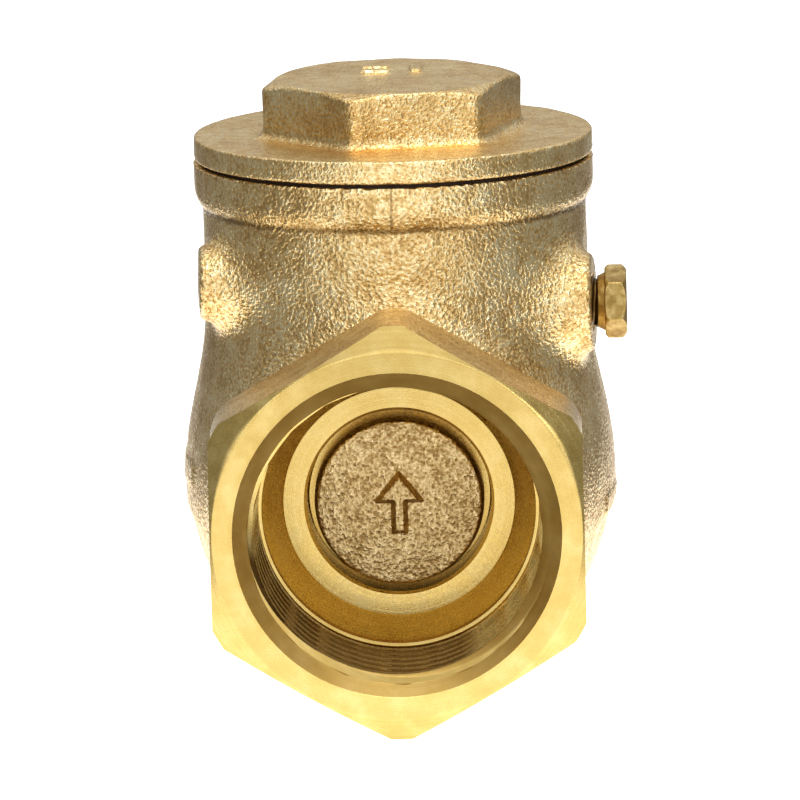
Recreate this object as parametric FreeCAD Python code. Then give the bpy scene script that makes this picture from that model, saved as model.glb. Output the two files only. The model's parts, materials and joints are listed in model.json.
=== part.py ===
"""Brass swing check valve, 1 inch NPT female ends, with a screwed bonnet cap and a side-fitted hinge pin.

Millimetres. The origin is the centre of the inlet face, on the bore axis. +Y is the flow direction,
+Z points to the bonnet cap and +X to the plug that keeps the hinge pin in.
"""

import FreeCAD, Part
import math
import os

V = FreeCAD.Vector
X_AXIS, Y_AXIS, Z_AXIS = V(1, 0, 0), V(0, 1, 0), V(0, 0, 1)

# ends
LENGTH = 74.0             # face to face
END_AF = 40.0             # wrench hexagons at both ends
END_HEX_LENGTH = 14.0
END_CHAMFER_R = 19.8      # corner chamfer circle on the face
END_CORNER_R = 22.45      # turned-off corners
END_CHAMFER_DEPTH = 1.6

# pipe thread, 1 inch NPT: 11.5 threads per inch, taper 1 in 16 on diameter
PITCH = 25.4 / 11.5
TAPER = 1 / 32.0          # on radius
CREST_R = 15.58           # crest cone at the face, with truncated crests
THREAD_DEPTH = 1.0
THREAD_ROOT_FLAT = 0.08
THREAD_TURNS = 5.9
THREAD_LAST_Y = 14.4      # deepest groove
BAND_R = 14.8             # plain band behind the thread, the tapping bore
BAND_Y = (15.6, 17.2)
MOUTH = ((17.6, 0.0), (16.5, 1.3), (CREST_R - 2.4 * TAPER, 2.4))

# seat and chamber
SEAT_CONE_R = 12.5
SEAT_CONE_Y = 19.9
SEAT_BORE_R = 10.0
SEAT_Y = 25.2
SEAT_LAND_R = 12.3
CHAMBER_Y = 24.2
CHAMBER_R = 20.2
CHAMBER_ARC = 47.0
GLOBE_R = 23.2
GLOBE_ARC = 50.0
GLOBE_Y = LENGTH / 2

# neck, under the bonnet cap
NECK_R = 20.95
NECK_BORE_R = 17.5
NECK_FLOOR_Z = 15.8       # pocket for the hinge, in front of the chamber
NECK_THREAD_R = 18.5
NECK_THREAD_Z = 28.3
RIM_R = 21.8
RIM_CONE_Z = (30.1, 31.5)
RIM_Z = 34.95
GASKET_SEAT_R = 20.9
GASKET_Z = (34.1, 35.35)
SEAM_WIDTH = 0.5
SEAM_RISE = 0.15
BLEND_R = 3.0             # cast blend where the neck leaves the globe
ARROW_RISE = 0.45
ARROW_Z = (1.8, -2.6)     # height of the flow arrow on the left and right side

# hinge
HINGE_Y = 27.0
HINGE_Z = 20.2
PIN_R = 2.0
PIN_HOLE_R = 2.05
PIN_X = (-16.5, 17.0)
PIN_HOLE_X = -16.6
BOSS_R = 4.9
BOSS_X = 21.25
PAD_R = 4.1
PAD_Z = 23.1
PAD_X = -21.2
EAR_R = 4.5
EAR_X = 10.7              # inner faces of the two hinge ears
PLUG_THREAD_R = 3.0
PLUG_HOLE_X = 16.5
PLUG_SHANK_R = 2.95
PLUG_NECK_R = 2.6
PLUG_COLLAR_X = (21.9, 22.7)
PLUG_COLLAR_R = 2.85
PLUG_AF = 7.0
PLUG_TURN = 81            # degrees, corner of the hexagon
PLUG_HEX_END_X = 25.1

# bonnet cap
FLANGE_Z = (35.35, 37.9)
CAP_AF = 25.4
CAP_TOP_Z = 43.9
CAP_TURN = 12.4           # degrees from +X to a corner of the hexagon
SPIGOT_R = 18.4
SPIGOT_Z = 28.8
CAP_CORNER_R = 1.0
CAP_ROOT_R = 0.8
CAP_CROWN = 0.35          # slope of the turned corner chamfer
CAP_BARS = ((-1.8, 39.6, 3.2, 1.2), (-1.8, 42.2, 3.2, 1.2), (2.6, 41.4, 1.4, 4.6))   # x, y, wide, long
GASKET_RING_R = (18.9, 20.6)
CAP_HOLLOW = ((14.6, 28.8), (14.6, 35.6), (7.0, 40.2), (0.0, 40.2))

# flap
DISC_Z = -0.4             # the disc hangs a little low in its seat bore
DISC_BOSS_R = 9.2
DISC_FACE_R = 9.0         # the boss tapers a little to its face
DISC_MARK_RISE = 0.5
DISC_FACE_Y = 21.2
DISC_R = 13.2
DISC_Y = (25.25, 28.2)
STEM_R = 3.0
STEM_END_Y = 39.2
ARM_Y = (28.5, 32.0)
ARM_HUB_R = 3.7
ARM_HUB_X = 10.2
ARM_EYE_R = 6.2
ARM_HOLE_R = 3.1
WASHER_Y = (32.3, 33.3)
WASHER_R = 6.0
NUT_Y = (33.3, 37.3)
NUT_AF = 9.0
SPLIT_PIN_Y = 38.2
SPLIT_PIN_R = 0.45


def cylinder(radius, start, direction, length):
    return Part.makeCylinder(radius, length, start, direction)


def turned(points, axis_point, axis, angle=360):
    """A solid of revolution from a closed list of points."""
    face = Part.Face(Part.makePolygon(points + [points[0]]))
    return face.revolve(axis_point, axis, angle)


def turned_y(profile, z=0.0):
    """Profile points are (radius, y), about a line along Y at height z."""
    points = [V(r, y, z) for r, y in profile]
    return turned(points, V(0, 0, z), Y_AXIS)


def turned_z(profile, y=GLOBE_Y):
    """Profile points are (radius, z), about the neck's axis."""
    points = [V(r, y, z) for r, z in profile]
    return turned(points, V(0, y, 0), Z_AXIS)


def turned_x(profile, y=HINGE_Y, z=HINGE_Z):
    """Profile points are (radius, x), about the hinge's axis."""
    points = [V(x, y, z + r) for r, x in profile]
    return turned(points, V(0, y, z), X_AXIS)


def hexagon(across_flats, first_corner, to_point):
    """Closed wire of a hexagon; first_corner in degrees, to_point maps (u, v) to a vector."""
    radius = across_flats / 2 / math.cos(math.radians(30))
    angles = [math.radians(first_corner + 60 * i) for i in range(6)]
    corners = [to_point(radius * math.cos(a), radius * math.sin(a)) for a in angles]
    return Part.makePolygon(corners + [corners[0]])


def hex_prism(across_flats, first_corner, start, direction, length):
    """Hexagonal bar from start along direction, which is one of the axes."""
    if direction.z:
        wire = hexagon(across_flats, first_corner, lambda u, v: V(u, v, 0))
    elif direction.y:
        wire = hexagon(across_flats, first_corner, lambda u, v: V(u, 0, v))
    else:
        wire = hexagon(across_flats, first_corner, lambda u, v: V(0, u, v))
    prism = Part.Face(wire).extrude(direction * length)
    prism.translate(start)
    return prism


def barrel(radius, arc, y_from, y_to):
    """Solid about the bore axis whose outline is an arc of radius arc, widest in mid-valve."""
    def r_at(y):
        return radius - arc + math.sqrt(arc ** 2 - (y - GLOBE_Y) ** 2)
    start, middle, end = [V(r_at(y), y, 0) for y in (y_from, GLOBE_Y, y_to)]
    outline = [
        Part.LineSegment(V(0, y_from, 0), start).toShape(),
        Part.Arc(start, middle, end).toShape(),
        Part.LineSegment(end, V(0, y_to, 0)).toShape(),
        Part.LineSegment(V(0, y_to, 0), V(0, y_from, 0)).toShape(),
    ]
    return Part.Face(Part.Wire(outline)).revolve(V(0, 0, 0), Y_AXIS, 360)


def end_hexagon():
    prism = hex_prism(END_AF, 90, V(0, 0, 0), Y_AXIS, END_HEX_LENGTH)
    envelope = turned_y([
        (0, 0), (END_CHAMFER_R, 0), (END_CORNER_R, END_CHAMFER_DEPTH),
        (END_CORNER_R, END_HEX_LENGTH - 1.0), (END_CORNER_R - 1.6, END_HEX_LENGTH),
        (0, END_HEX_LENGTH),
    ])
    return prism.common(envelope)


def bore_passage():
    """Thread crests and plain band at the inlet, as a solid to cut away."""
    band_start, band_end = BAND_Y
    return turned_y([
        (0, -1), (CREST_R + TAPER, -1), (CREST_R - band_start * TAPER, band_start),
        (BAND_R, band_start), (BAND_R, band_end), (0, band_end),
    ])


def mouth_chamfer():
    return turned_y([(0, -1), (MOUTH[0][0], -1), *MOUTH, (0, MOUTH[-1][1])])


def thread_groove():
    """Tapered right-hand V groove, wound from its deep end out through the mouth."""
    start_r = CREST_R - THREAD_LAST_Y * TAPER
    inside = 0.3
    half = THREAD_ROOT_FLAT + (THREAD_DEPTH + inside) * math.tan(math.radians(30))
    helix = Part.makeHelix(PITCH, THREAD_TURNS * PITCH, start_r, math.degrees(math.atan(TAPER)))
    section = [
        V(start_r - inside, 0, -half), V(start_r + THREAD_DEPTH, 0, -THREAD_ROOT_FLAT),
        V(start_r + THREAD_DEPTH, 0, THREAD_ROOT_FLAT), V(start_r - inside, 0, half),
    ]
    wire = Part.makePolygon(section + [section[0]])
    groove = Part.Wire(helix.Edges).makePipeShell([wire], True, True)
    groove.rotate(V(0, 0, 0), X_AXIS, 90)
    groove.translate(V(0, THREAD_LAST_Y, 0))
    return groove


def threaded_end():
    """The two cuts that open the inlet: passage with its thread groove, then the mouth."""
    return [bore_passage(), thread_groove(), mouth_chamfer()]


def turned_over(shape):
    """The same shape at the outlet: turned half round the neck's axis, so threads stay right-hand."""
    copy = shape.copy()
    copy.rotate(V(0, GLOBE_Y, 0), Z_AXIS, 180)
    return copy


def body_outside():
    """Globe, neck and rim in one casting, with the hinge boss and pad on its sides."""
    globe = barrel(GLOBE_R, GLOBE_ARC, 5.0, LENGTH - 5.0)
    neck = turned_z([
        (0, 0), (NECK_R, 0), (NECK_R, RIM_CONE_Z[0]), (RIM_R, RIM_CONE_Z[1]),
        (RIM_R, RIM_Z), (0, RIM_Z),
    ])
    boss = turned_x([
        (0, 12), (BOSS_R + 1.6, 12), (BOSS_R + 1.6, 18.6), (BOSS_R + 0.5, 19.1), (BOSS_R, 20.0),
        (BOSS_R, BOSS_X - 0.5), (BOSS_R - 0.5, BOSS_X), (0, BOSS_X),
    ])
    pad = cylinder(PAD_R, V(-15, HINGE_Y, PAD_Z), -X_AXIS, -PAD_X - 15)
    seam = Part.makeBox(SEAM_WIDTH, 6.0, RIM_Z - 28.0)
    seam.translate(V(-SEAM_WIDTH / 2, GLOBE_Y - RIM_R - SEAM_RISE, 28.0))
    seam_limit = turned_z([
        (0, 28.0), (NECK_R + SEAM_RISE, 28.0), (NECK_R + SEAM_RISE, RIM_CONE_Z[0]),
        (RIM_R + SEAM_RISE, RIM_CONE_Z[1]), (RIM_R + SEAM_RISE, RIM_Z), (0, RIM_Z),
    ])
    outside = globe.fuse(neck)
    blended = [e for e in outside.Edges if is_saddle(e)]
    outside = outside.makeFillet(BLEND_R, blended)
    for piece in (boss, pad, seam.common(seam_limit)):
        outside = outside.fuse(piece)
    hexagons = end_hexagon()
    return outside.fuse([hexagons, turned_over(hexagons)])


def is_saddle(edge):
    """True for the edge where the neck meets the globe."""
    box = edge.BoundBox
    return box.ZMin > 5 and box.ZMax < 25 and box.XLength > 1


def chamber():
    """Everything between the two plain bands: seat cone, seat bore, round chamber."""
    def wall(y):
        return CHAMBER_R - CHAMBER_ARC + math.sqrt(CHAMBER_ARC ** 2 - (y - GLOBE_Y) ** 2)
    band_end = BAND_Y[1]
    shoulder = LENGTH - band_end
    front = V(wall(CHAMBER_Y), CHAMBER_Y, 0)
    back = V(wall(shoulder), shoulder, 0)
    points = [
        V(0, shoulder, 0), V(0, band_end, 0), V(BAND_R, band_end, 0),
        V(SEAT_CONE_R, SEAT_CONE_Y, 0), V(SEAT_BORE_R + 0.3, SEAT_CONE_Y, 0),
        V(SEAT_BORE_R, SEAT_CONE_Y + 0.3, 0), V(SEAT_BORE_R, SEAT_Y, 0),
        V(SEAT_LAND_R, SEAT_Y, 0), V(SEAT_LAND_R + 0.5, CHAMBER_Y, 0), front,
    ]
    edges = [Part.LineSegment(a, b).toShape() for a, b in zip(points, points[1:])]
    edges.append(Part.Arc(front, V(CHAMBER_R, GLOBE_Y, 0), back).toShape())
    edges.append(Part.LineSegment(back, points[0]).toShape())
    return Part.Face(Part.Wire(edges)).revolve(V(0, 0, 0), Y_AXIS, 360)


def neck_bore():
    """Bore under the cap. In front of the chamber it stops at the floor of the hinge pocket."""
    bore = turned_z([
        (0, 8), (NECK_BORE_R, 8), (NECK_BORE_R, NECK_THREAD_Z - 1.0),
        (NECK_THREAD_R, NECK_THREAD_Z), (NECK_THREAD_R, GASKET_Z[0]),
        (GASKET_SEAT_R, GASKET_Z[0]), (GASKET_SEAT_R, RIM_Z + 1), (0, RIM_Z + 1),
    ])
    floor = Part.makeBox(60, CHAMBER_Y + 10, NECK_FLOOR_Z + 10)
    floor.translate(V(-30, -10, -10))
    return bore.cut(floor)


def hinge_ears(outside):
    """Two ears inside the neck that carry the hinge pin."""
    def ear(side):
        return cylinder(EAR_R, V(side * EAR_X, HINGE_Y, HINGE_Z), X_AXIS * side, 8.5)
    return [ear(side).common(outside) for side in (-1, 1)]


def flow_arrow(side, z):
    """Raised arrow on the side of the globe, pointing the way the water goes."""
    shaft_half, head_half, head = 1.1, 3.2, 5.5
    start, end = GLOBE_Y - 9.0, GLOBE_Y + 9.0
    points = [
        (start, -shaft_half), (end - head, -shaft_half), (end - head, -head_half), (end, 0),
        (end - head, head_half), (end - head, shaft_half), (start, shaft_half),
    ]
    wire = [V(0, y, z + dz) for y, dz in points]
    block = Part.Face(Part.makePolygon(wire + [wire[0]])).extrude(X_AXIS * side * 30)
    return block.common(barrel(GLOBE_R + ARROW_RISE, GLOBE_ARC, 20, LENGTH - 20))


def body():
    outside = body_outside()
    arrows = [flow_arrow(-1, ARROW_Z[0]), flow_arrow(1, ARROW_Z[1])]
    casting = outside.fuse(arrows)
    casting = casting.cut(chamber())
    casting = casting.cut(neck_bore())
    casting = casting.fuse(hinge_ears(outside))
    pin_length = PLUG_HOLE_X - PIN_HOLE_X
    casting = casting.cut([
        cylinder(PIN_HOLE_R, V(PIN_HOLE_X, HINGE_Y, HINGE_Z), X_AXIS, pin_length),
        cylinder(PLUG_THREAD_R, V(PLUG_HOLE_X, HINGE_Y, HINGE_Z), X_AXIS, 8),
    ])
    for cut in threaded_end():
        casting = casting.cut(cut)
        casting = casting.cut(turned_over(cut))
    return casting.Solids[0]


def bonnet_cap():
    """Screwed cap: flange, cast wrench hexagon and a hollow threaded spigot."""
    flange_low, flange_high = FLANGE_Z
    flange = turned_z([
        (0, flange_low), (RIM_R - 0.3, flange_low), (RIM_R, flange_low + 0.3),
        (RIM_R, flange_high - 0.7), (RIM_R - 0.2, flange_high - 0.2),
        (RIM_R - 0.7, flange_high), (0, flange_high),
    ])
    height = CAP_TOP_Z - flange_high
    prism = hex_prism(CAP_AF, CAP_TURN, V(0, GLOBE_Y, flange_high), Z_AXIS, height)
    upright = [e for e in prism.Edges if e.BoundBox.ZLength > height - 0.1]
    prism = prism.makeFillet(CAP_CORNER_R, upright)
    crown_r = CAP_AF / 2 - 0.1
    crown = turned_z([
        (0, flange_high), (CAP_AF, flange_high), (CAP_AF, CAP_TOP_Z - CAP_CROWN * (CAP_AF - crown_r)),
        (crown_r, CAP_TOP_Z), (0, CAP_TOP_Z),
    ])
    head = prism.common(crown)
    cap = flange.fuse(head)
    root = [e for e in cap.Edges if abs(e.BoundBox.ZMax - flange_high) < 0.01
            and e.BoundBox.ZLength < 0.01 and e.BoundBox.XLength < CAP_AF + 2
            and inside_radius(e, CAP_AF * 0.6)]
    cap = cap.makeFillet(CAP_ROOT_R, root)
    spigot = turned_z(ridged(SPIGOT_R, 0.35, SPIGOT_Z, flange_low - 2.2, 1.5) + [(0, flange_low)])
    cap = cap.fuse(spigot)
    cap = cap.fuse([raised_bar(*bar) for bar in CAP_BARS])
    hollow = turned_z([(0, SPIGOT_Z - 1), (CAP_HOLLOW[0][0], SPIGOT_Z - 1), *CAP_HOLLOW])
    return cap.cut(hollow).Solids[0]


def inside_radius(edge, radius):
    """True when the whole edge is within radius of the neck's axis."""
    spread = [edge.valueAt(edge.FirstParameter), edge.valueAt(edge.LastParameter)]
    return all(math.hypot(p.x, p.y - GLOBE_Y) < radius for p in spread)


def ridged(radius, depth, low, high, pitch):
    """Turned outline of a threaded length, as close-set ridges, then its plain relief above."""
    points = [(0, low), (radius - depth, low)]
    for i in range(int((high - low) / pitch)):
        z = low + i * pitch
        points += [(radius, z + 0.35 * pitch), (radius, z + 0.55 * pitch), (radius - depth, z + 0.9 * pitch)]
    top = high + 2.2
    return points + [(radius - depth, high), (radius - 0.05, high + 0.3), (radius - 0.05, top)]


def raised_bar(x, y, wide, long):
    """Small rounded cast mark standing on the cap."""
    bar = Part.makeBox(wide, long, 1.0)
    bar.translate(V(x - wide / 2, y - long / 2, CAP_TOP_Z - 0.6))
    upright = [e for e in bar.Edges if e.BoundBox.ZLength > 0.9]
    return bar.makeFillet(0.4, upright)


def bonnet_gasket():
    low, high = GASKET_Z
    return turned_z([(GASKET_RING_R[0], low), (GASKET_RING_R[1], low),
                     (GASKET_RING_R[1], high), (GASKET_RING_R[0], high)])


def hinge_pin():
    low, high = PIN_X
    return turned_x([
        (0, low), (PIN_R - 0.3, low), (PIN_R, low + 0.3), (PIN_R, high - 0.3),
        (PIN_R - 0.3, high), (0, high),
    ])


def hinge_pin_plug():
    """Small screwed plug: threaded shank, undercut, collar and a chamfered hexagon."""
    shank_end = BOSS_X
    outline = [(0, 17.2), (PLUG_SHANK_R - 0.5, 17.2), (PLUG_SHANK_R, 17.7), (PLUG_SHANK_R, shank_end),
               (PLUG_NECK_R, shank_end + 0.15), (PLUG_NECK_R, PLUG_COLLAR_X[0]),
               (PLUG_COLLAR_R, PLUG_COLLAR_X[0] + 0.15), (PLUG_COLLAR_R + 0.35, PLUG_COLLAR_X[1]),
               (0, PLUG_COLLAR_X[1])]
    shank = turned_x(outline)
    length = PLUG_HEX_END_X - PLUG_COLLAR_X[1]
    start = V(PLUG_COLLAR_X[1], HINGE_Y, HINGE_Z)
    prism = hex_prism(PLUG_AF, PLUG_TURN, start, X_AXIS, length)
    corner_r = PLUG_AF / 2 / math.cos(math.radians(30))
    envelope = turned_x([
        (0, PLUG_COLLAR_X[1]), (corner_r - 0.2, PLUG_COLLAR_X[1]),
        (corner_r, PLUG_COLLAR_X[1] + 0.25), (corner_r, PLUG_HEX_END_X - 0.5),
        (PLUG_AF / 2 - 0.1, PLUG_HEX_END_X), (0, PLUG_HEX_END_X),
    ])
    return shank.fuse(prism.common(envelope)).Solids[0]


def hanger_arm():
    """Cast arm: hub on the hinge pin, tapering plate, eye around the disc's stem."""
    hub = turned_x([
        (0, -ARM_HUB_X), (ARM_HUB_R - 0.3, -ARM_HUB_X), (ARM_HUB_R, 0.3 - ARM_HUB_X),
        (ARM_HUB_R, ARM_HUB_X - 0.3), (ARM_HUB_R - 0.3, ARM_HUB_X), (0, ARM_HUB_X),
    ])
    front, back = ARM_Y
    thick = back - front
    eye = cylinder(ARM_EYE_R, V(0, front, DISC_Z), Y_AXIS, thick)
    half_top, half_low = 8.0, 5.6
    outline = [V(-half_top, front, HINGE_Z + 0.5), V(half_top, front, HINGE_Z + 0.5),
               V(half_top, front, HINGE_Z - 5), V(half_low, front, DISC_Z + 2.6),
               V(-half_low, front, DISC_Z + 2.6), V(-half_top, front, HINGE_Z - 5)]
    plate = Part.Face(Part.makePolygon(outline + [outline[0]])).extrude(Y_AXIS * thick)
    arm = hub.fuse([plate, eye])
    pin_hole = cylinder(PIN_HOLE_R, V(-20, HINGE_Y, HINGE_Z), X_AXIS, 40)
    stem_hole = cylinder(ARM_HOLE_R, V(0, front - 1, DISC_Z), Y_AXIS, thick + 2)
    window = Part.makeBox(5.0, thick + 2, 6.0)
    window.translate(V(-2.5, front - 1, DISC_Z + 7.6))
    window = window.makeFillet(1.5, [e for e in window.Edges if e.BoundBox.YLength > thick])
    return arm.cut([pin_hole, stem_hole, window]).removeSplitter().Solids[0]


def clapper_disc():
    """Disc with its cast front boss, machined seating ring and threaded stem."""
    face, ring, back = DISC_FACE_Y, DISC_Y[0], DISC_Y[1]
    stem_start = NUT_Y[0] - 0.6
    outline = [
        (0, face), (DISC_FACE_R - 0.2, face), (DISC_FACE_R, face + 0.2), (DISC_BOSS_R, face + 1.4),
        (DISC_BOSS_R, ring + 0.35),
        (DISC_BOSS_R + 0.6, ring + 0.35), (DISC_BOSS_R + 0.9, ring), (DISC_R - 0.2, ring),
        (DISC_R, ring + 0.2), (DISC_R, back - 0.6), (DISC_R - 0.6, back), (6.5, back),
        (5.5, back + 0.15), (STEM_R, back + 0.15), (STEM_R, stem_start),
    ]
    y = stem_start
    while y < STEM_END_Y - 1.6:
        outline += [(STEM_R - 0.45, y + 0.45), (STEM_R - 0.45, y + 0.55), (STEM_R, y + 0.95), (STEM_R, y + 1.0)]
        y += 1.0
    outline += [(STEM_R, STEM_END_Y - 0.5), (STEM_R - 0.5, STEM_END_Y), (0, STEM_END_Y)]
    disc = turned_y(outline, DISC_Z)
    mark = disc_mark()
    split_pin_hole = cylinder(SPLIT_PIN_R + 0.08, V(0, SPLIT_PIN_Y, DISC_Z - 5), Z_AXIS, 10)
    return disc.fuse(mark).cut(split_pin_hole).Solids[0]


def disc_mark():
    """Raised upward arrow on the disc's cast face."""
    half_head, half_shaft, tall = 2.4, 0.65, 3.2
    points = [(-half_shaft, -tall), (half_shaft, -tall), (half_shaft, 0.2), (half_head, 0.2),
              (0, tall), (-half_head, 0.2), (-half_shaft, 0.2)]
    wire = [V(x, DISC_FACE_Y + 0.2, DISC_Z + z) for x, z in points]
    return Part.Face(Part.makePolygon(wire + [wire[0]])).extrude(-Y_AXIS * (0.2 + DISC_MARK_RISE))


def disc_washer():
    low, high = WASHER_Y
    hole = STEM_R + 0.1
    return turned_y([(hole, low), (WASHER_R, low), (WASHER_R, high), (hole, high)], DISC_Z)


def disc_nut():
    low, high = NUT_Y
    prism = hex_prism(NUT_AF, 30, V(0, low, DISC_Z), Y_AXIS, high - low)
    corner_r = NUT_AF / 2 / math.cos(math.radians(30))
    edge_r = NUT_AF / 2 - 0.1
    envelope = turned_y([
        (STEM_R + 0.02, low), (edge_r, low), (corner_r, low + 0.45),
        (corner_r, high - 0.45), (edge_r, high), (STEM_R + 0.02, high),
    ], DISC_Z)
    return prism.common(envelope).Solids[0]


def nut_split_pin():
    """Split pin through the end of the stem: looped eye below, legs spread above."""
    y, z = SPLIT_PIN_Y, DISC_Z
    eye_r = 0.75
    eye_z = z - STEM_R - eye_r - SPLIT_PIN_R - 0.1
    shank = cylinder(SPLIT_PIN_R, V(0, y, eye_z + eye_r), Z_AXIS, 2 * STEM_R + 1.1)
    eye = Part.makeTorus(eye_r, SPLIT_PIN_R, V(0, y, eye_z), Y_AXIS)
    leg_start = V(0, y, z + STEM_R + 0.5)
    legs = [cylinder(SPLIT_PIN_R * 0.8, leg_start, V(side, 0, 0.2), 2.0) for side in (-1, 1)]
    return shank.fuse([eye, *legs]).removeSplitter().Solids[0]


NODES = {
    "body": body,
    "bonnet_cap": bonnet_cap,
    "bonnet_gasket": bonnet_gasket,
    "hinge_pin": hinge_pin,
    "hinge_pin_plug": hinge_pin_plug,
    "hanger_arm": hanger_arm,
    "clapper_disc": clapper_disc,
    "disc_washer": disc_washer,
    "disc_nut": disc_nut,
    "nut_split_pin": nut_split_pin,
}

os.makedirs("parts", exist_ok=True)
for node, make in NODES.items():
    shape = make()
    shape.exportStep(f"parts/{node}.step")
    print(node, shape.isValid(), len(shape.Solids), round(shape.Volume, 1))
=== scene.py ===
"""Brass swing check valve: cast body and cap, threaded turned ends, a side plug and a hinged disc."""

import json
import math

import bpy
import numpy as np
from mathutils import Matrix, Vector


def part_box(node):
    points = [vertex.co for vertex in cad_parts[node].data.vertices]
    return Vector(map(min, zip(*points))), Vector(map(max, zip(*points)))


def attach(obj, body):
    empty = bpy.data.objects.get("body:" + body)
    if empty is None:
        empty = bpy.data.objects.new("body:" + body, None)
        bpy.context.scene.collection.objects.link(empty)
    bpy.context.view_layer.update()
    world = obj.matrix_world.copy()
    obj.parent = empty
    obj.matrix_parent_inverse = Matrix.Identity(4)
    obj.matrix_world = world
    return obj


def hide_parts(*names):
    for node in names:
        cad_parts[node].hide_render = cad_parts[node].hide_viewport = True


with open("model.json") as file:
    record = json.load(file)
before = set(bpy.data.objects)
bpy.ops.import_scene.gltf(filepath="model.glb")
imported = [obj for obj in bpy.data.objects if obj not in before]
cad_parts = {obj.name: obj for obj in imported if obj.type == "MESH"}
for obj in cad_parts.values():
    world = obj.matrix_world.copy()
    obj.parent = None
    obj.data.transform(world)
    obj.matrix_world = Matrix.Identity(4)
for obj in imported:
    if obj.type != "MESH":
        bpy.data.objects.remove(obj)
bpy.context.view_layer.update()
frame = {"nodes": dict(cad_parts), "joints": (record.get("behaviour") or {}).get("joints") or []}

import openvdb
from mathutils import Matrix, Vector

MM = 0.001


def node_box(name):
    """A CAD node's lowest and highest corners, in millimetres."""
    low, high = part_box(name)
    return np.array(low) / MM, np.array(high) / MM


def joint(name):
    return next(j for j in frame["joints"] if j["name"] == name)


# ---- sizes in millimetres: from the frame where it has them, else those of the casting ----
BODY_LOW, BODY_HIGH = node_box("body")
CAP_LOW, CAP_HIGH = node_box("bonnet_cap")
PLUG_LOW, PLUG_HIGH = node_box("hinge_pin_plug")
DISC_LOW, DISC_HIGH = node_box("clapper_disc")
ARM_LOW, ARM_HIGH = node_box("hanger_arm")
HINGE_Y, HINGE_Z = [joint("flapper_swing")["pos_m"][i] / MM for i in (1, 2)]
DISC_Z = joint("disc_spin")["pos_m"][2] / MM
LENGTH = BODY_HIGH[1]
MID_Y = LENGTH / 2
RIM_Z = BODY_HIGH[2]

END_HALF_AF = 20.0
END_HEX_LENGTH = 14.0
END_CORNER_R = 22.45
FACE_R = 19.8             # where the corner chamfer starts on the end face
CHAMFER_SLOPE = 1.6 / 2.8
GLOBE_R, GLOBE_ARC = 23.2, 50.0
CHAMBER_R, CHAMBER_ARC = 20.2, 47.0
CHAMBER_Y = 24.2
SHOULDER_Y = LENGTH - 17.2
NECK_R = 20.95
RIM_R = 21.8
RIM_CONE_Z = (30.1, 31.5)
NECK_BORE_R = 17.5
NECK_FLOOR_Z = 15.8
NECK_THREAD_R, NECK_THREAD_Z = 18.5, 28.3
GASKET_SEAT_R, GASKET_SEAT_Z = 20.9, 34.1
BOSS_R, BOSS_X = 4.9, 21.25
PAD_R, PAD_Z, PAD_X = 3.9, 23.1, -21.15
EAR_R, EAR_X = 4.5, 10.7
PIN_HOLE_R, PIN_HOLE_X = 2.05, (-16.6, 16.5)
PLUG_HOLE_R = 3.0

PITCH = 25.4 / 11.5
TAPER = 1 / 32
CREST_R = 15.58
THREAD_DEPTH = 1.0
THREAD_END_Y = 15.4
BAND_R, BAND_START, BAND_END = 14.8, 15.6, 17.2
MOUTH = ((17.6, 0.0), (16.5, 1.3), (15.5, 2.4))
SOCKET_WALL = 17.5        # hidden outer wall of the turned socket pieces
MOUTH_RELIEF_R, MOUTH_RELIEF_DEPTH = 18.5, 2   # the casting stays this far back from the turned mouths
SEAT = ((12.5, 19.9), (10.3, 19.9), (10.0, 20.2), (10.0, 25.2), (12.3, 25.2), (12.8, 24.2))


# ---- numbers and fields ----

def smooth_min(a, b, k):
    """Union of two distances with a blend about k wide."""
    h = np.clip(0.5 + 0.5 * (b - a) / k, 0, 1)
    return b + (a - b) * h - k * h * (1 - h)


def smooth_max(a, b, k):
    return -smooth_min(-a, -b, k)


def hex_distance(u, v, half_af, first_corner, rounding):
    """Distance to a hexagon in its own plane, with rounded corners."""
    distance = None
    for i in range(3):
        a = math.radians(first_corner + 30 + 60 * i)
        side = np.abs(u * math.cos(a) + v * math.sin(a)) - half_af
        distance = side if distance is None else smooth_max(distance, side, rounding)
    return distance


def segment_distance(u, v, start, end):
    """Distance to a straight segment in a plane."""
    du, dv = end[0] - start[0], end[1] - start[1]
    t = np.clip(((u - start[0]) * du + (v - start[1]) * dv) / (du * du + dv * dv), 0, 1)
    return np.hypot(u - start[0] - t * du, v - start[1] - t * dv)


def polygon_distance(u, v, corners):
    """Signed distance to a closed polygon in a plane, negative inside."""
    distance, inside = None, None
    for a, b in zip(corners, corners[1:] + corners[:1]):
        d = segment_distance(u, v, a, b)
        distance = d if distance is None else np.minimum(distance, d)
        crosses = (a[1] > v) != (b[1] > v)
        slope = (b[0] - a[0]) / (b[1] - a[1]) if b[1] != a[1] else 0.0
        flip = crosses & (u < a[0] + slope * (v - a[1]))
        inside = flip if inside is None else inside ^ flip
    return np.where(inside, -distance, distance)


LATTICE = np.random.RandomState(7).rand(64, 64, 64)


def lattice_noise(x, y, z, size, shift=0.0):
    """Smooth random values from -1 to 1 whose bumps are about size wide."""
    cells, parts = [], []
    for c in (x, y, z):
        q = c / size + shift
        whole = np.floor(q)
        part = q - whole
        cells.append(whole.astype(int) % 64)
        parts.append(part * part * (3 - 2 * part))
    total = 0.0
    for i in (0, 1):
        for j in (0, 1):
            for k in (0, 1):
                weight = 1.0
                for part, one in zip(parts, (i, j, k)):
                    weight = weight * (part if one else 1 - part)
                corner = LATTICE[(cells[0] + i) % 64, (cells[1] + j) % 64, (cells[2] + k) % 64]
                total = total + weight * corner
    return 2 * total - 1


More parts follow.
